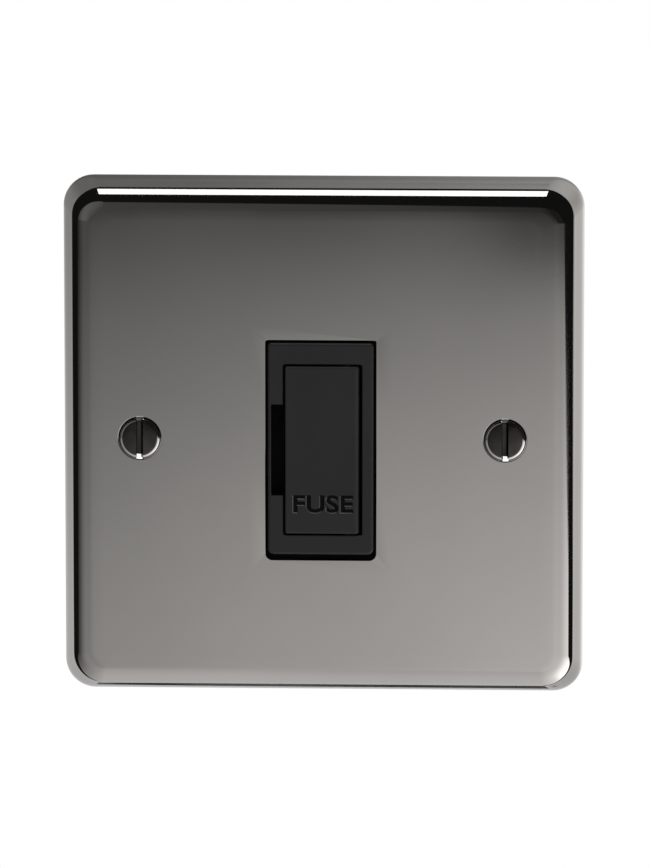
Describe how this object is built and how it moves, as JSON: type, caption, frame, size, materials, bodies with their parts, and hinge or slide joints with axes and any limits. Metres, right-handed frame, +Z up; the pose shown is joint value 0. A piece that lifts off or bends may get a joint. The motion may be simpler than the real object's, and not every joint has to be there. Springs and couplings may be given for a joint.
{
  "type": "fused spur unit",
  "caption": "Single-gang unswitched fused spur unit: polished dark plate, slotted fixing screws, black insert with a fuse carrier that turns out, terminals behind.",
  "frame": {"origin": "midway between the fixing screws, in the plane of the plate's rim, which rests on the wall", "axes": "+X to the right seen from the front, +Y into the wall, +Z up; the front faces -Y"},
  "size_m": [0.086, 0.0267, 0.086],
  "materials": {
    "plate_metal": "black nickel plated, polished",
    "plate_screw_metal": "black nickel plated, polished",
    "insert_moulding": "black, satin",
    "carrier_moulding": "black, satin",
    "housing_moulding": "black, fine grained",
    "ceramic": "glazed, off-white",
    "cap_metal": "nickel plated",
    "spring_strip": "rolled copper alloy strip",
    "brass_strip": "rolled brass strip",
    "terminal_brass": "machined brass",
    "terminal_screw_metal": "zinc plated, passivated",
    "zinc_steel": "zinc plated"
  },
  "bodies": {
    "unit": {"front_plate": "plate_metal", "plate_pillars": "zinc_steel", "fixing_screws": "plate_screw_metal", "front_housing": "insert_moulding", "rear_housing": "housing_moulding", "supply_fuse_clip": "spring_strip", "load_fuse_clip": "spring_strip", "neutral_link": "brass_strip", "earth_link": "brass_strip", "assembly_screws": "zinc_steel", "neutral_supply_terminal": "terminal_brass", "neutral_load_terminal": "terminal_brass", "live_supply_terminal": "terminal_brass", "live_load_terminal": "terminal_brass", "earth_supply_terminal": "terminal_brass", "earth_load_terminal": "terminal_brass"},
    "carrier": {"fuse_carrier": "carrier_moulding", "fuse_barrel": "ceramic", "fuse_cap_upper": "cap_metal", "fuse_cap_lower": "cap_metal"},
    "neutral_supply_clamp": {"neutral_supply_screw": "terminal_screw_metal"},
    "neutral_load_clamp": {"neutral_load_screw": "terminal_screw_metal"},
    "live_supply_clamp": {"live_supply_screw": "terminal_screw_metal"},
    "live_load_clamp": {"live_load_screw": "terminal_screw_metal"},
    "earth_supply_clamp": {"earth_supply_screw": "terminal_screw_metal"},
    "earth_load_clamp": {"earth_load_screw": "terminal_screw_metal"}
  },
  "joints": [
    {"name": "carrier_swing", "type": "hinge", "parent": "unit", "child": "carrier", "pos_m": [0.00422, -0.0055, -0.00175], "axis": [0, 0, 1], "range_deg": [0, 75]},
    {"name": "neutral_supply_clamp_slide", "type": "slide", "parent": "unit", "child": "neutral_supply_clamp", "axis": [0, -1, 0], "range_m": [0, 0.0033]},
    {"name": "neutral_load_clamp_slide", "type": "slide", "parent": "unit", "child": "neutral_load_clamp", "axis": [0, -1, 0], "range_m": [0, 0.0033]},
    {"name": "live_supply_clamp_slide", "type": "slide", "parent": "unit", "child": "live_supply_clamp", "axis": [0, -1, 0], "range_m": [0, 0.0033]},
    {"name": "live_load_clamp_slide", "type": "slide", "parent": "unit", "child": "live_load_clamp", "axis": [0, -1, 0], "range_m": [0, 0.0033]},
    {"name": "earth_supply_clamp_slide", "type": "slide", "parent": "unit", "child": "earth_supply_clamp", "axis": [0, -1, 0], "range_m": [0, 0.0033]},
    {"name": "earth_load_clamp_slide", "type": "slide", "parent": "unit", "child": "earth_load_clamp", "axis": [0, -1, 0], "range_m": [0, 0.0033]}
  ]
}
